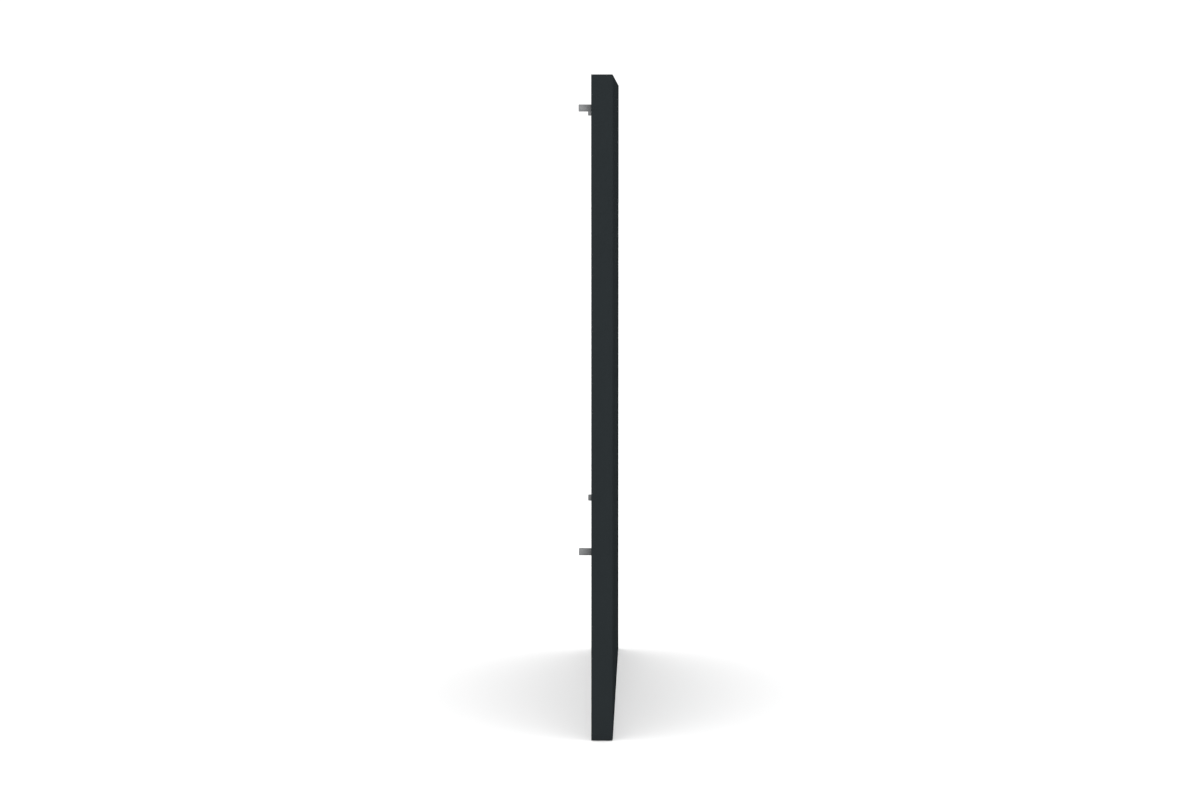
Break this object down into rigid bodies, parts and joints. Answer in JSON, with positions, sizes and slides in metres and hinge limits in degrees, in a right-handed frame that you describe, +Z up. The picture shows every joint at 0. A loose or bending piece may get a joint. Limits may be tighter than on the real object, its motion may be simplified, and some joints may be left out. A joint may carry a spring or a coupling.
{
  "type": "fireplace screen",
  "caption": "Free-standing folded-steel fireplace screen: flat anthracite front, insulated core, recessed rear heat shield and stand-off lugs.",
  "frame": {"origin": "middle of the bottom of the whole screen's box, the lugs included, on the floor", "axes": "+Z up; the front face looks to -Y; the stand-off lugs point to +Y; X runs along the width"},
  "size_m": [0.626, 0.0404, 0.77],
  "materials": {
    "coat": "fine-textured matte powder coat",
    "shield": "satin black heat-resistant paint",
    "zinc": "dull zinc plate",
    "galvanised": "galvanised sheet with a soft spangle",
    "board": "pressed mineral-fibre insulation board",
    "screw": "dark oiled steel",
    "rubber": "matte black rubber"
  },
  "bodies": {
    "screen": {"bottom_channel": "galvanised", "cover_screw_01": "screw", "cover_screw_02": "screw", "cover_screw_03": "screw", "cover_screw_04": "screw", "cover_screw_05": "screw", "cover_screw_06": "screw", "cover_screw_07": "screw", "cover_screw_08": "screw", "cover_screw_09": "screw", "cover_screw_10": "screw", "cover_screw_11": "screw", "cover_screw_12": "screw", "front_tray": "coat", "left_channel": "galvanised", "left_foot_pad": "rubber", "lower_centre_stiffener": "galvanised", "lower_cross_rail": "galvanised", "lower_left_board": "board", "lower_right_board": "board", "plate_nut_lower_left_a": "zinc", "plate_nut_lower_left_b": "zinc", "plate_nut_lower_right_a": "zinc", "plate_nut_lower_right_b": "zinc", "plate_nut_upper_left_a": "zinc", "plate_nut_upper_left_b": "zinc", "plate_nut_upper_right_a": "zinc", "plate_nut_upper_right_b": "zinc", "plate_screw_lower_left_a": "screw", "plate_screw_lower_left_b": "screw", "plate_screw_lower_right_a": "screw", "plate_screw_lower_right_b": "screw", "plate_screw_upper_left_a": "screw", "plate_screw_upper_left_b": "screw", "plate_screw_upper_right_a": "screw", "plate_screw_upper_right_b": "screw", "rear_cover": "shield", "right_channel": "galvanised", "right_foot_pad": "rubber", "standoff_lower_left": "zinc", "standoff_lower_right": "zinc", "standoff_plate_lower_left": "zinc", "standoff_plate_lower_right": "zinc", "standoff_plate_upper_left": "zinc", "standoff_plate_upper_right": "zinc", "standoff_upper_left": "zinc", "standoff_upper_right": "zinc", "top_channel": "galvanised", "upper_centre_stiffener": "galvanised", "upper_cross_rail": "galvanised", "upper_left_board": "board", "upper_right_board": "board"}
  },
  "joints": []
}
